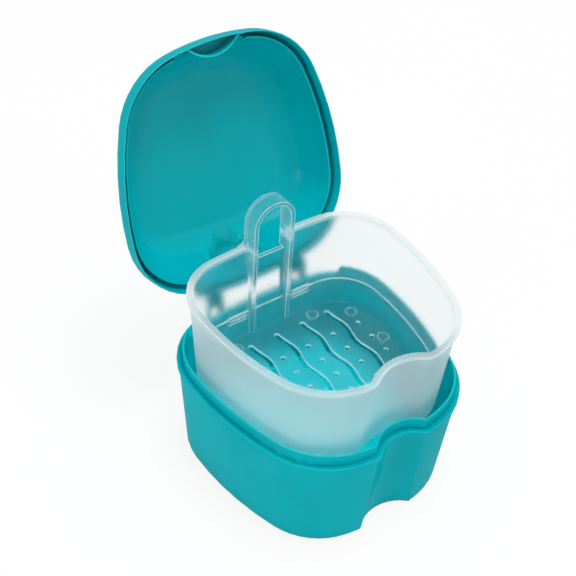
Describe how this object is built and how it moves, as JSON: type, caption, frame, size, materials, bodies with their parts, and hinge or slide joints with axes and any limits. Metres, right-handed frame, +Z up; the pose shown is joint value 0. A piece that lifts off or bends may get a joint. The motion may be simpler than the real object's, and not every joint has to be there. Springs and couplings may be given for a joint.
{
  "type": "denture case",
  "caption": "Denture bath case: scalloped cup-shaped base, domed lid on snap hinges and a translucent lift-out rinsing basket with loop handle and drain slots.",
  "frame": {"origin": "middle of the base's footprint, on the surface the case stands on", "axes": "+Z up, +X to the right seen from the front, -Y towards the front with the scallop, hinge at +Y; stored open with the basket lifted"},
  "size_m": [0.0998, 0.147, 0.1496],
  "materials": {
    "teal_base": "satin-gloss moulded polypropylene",
    "teal_lid": "satin-gloss moulded polypropylene",
    "clear_basket": "translucent natural polypropylene"
  },
  "bodies": {
    "base": {"base": "teal_base"},
    "lid": {"lid": "teal_lid"},
    "basket": {"basket": "clear_basket"}
  },
  "joints": [
    {"name": "lid_hinge", "type": "hinge", "parent": "base", "child": "lid", "pos_m": [0, 0.0521, 0.0522], "axis": [1, 0, 0], "range_deg": [0, 108.7]},
    {"name": "basket_slide", "type": "slide", "parent": "base", "child": "basket", "axis": [0, 0, -1], "range_m": [0, 0.0348]}
  ],
  "couplings": [
    {"joint": "basket_slide", "follows": "lid_hinge", "m_per_rad": 0.01834}
  ]
}
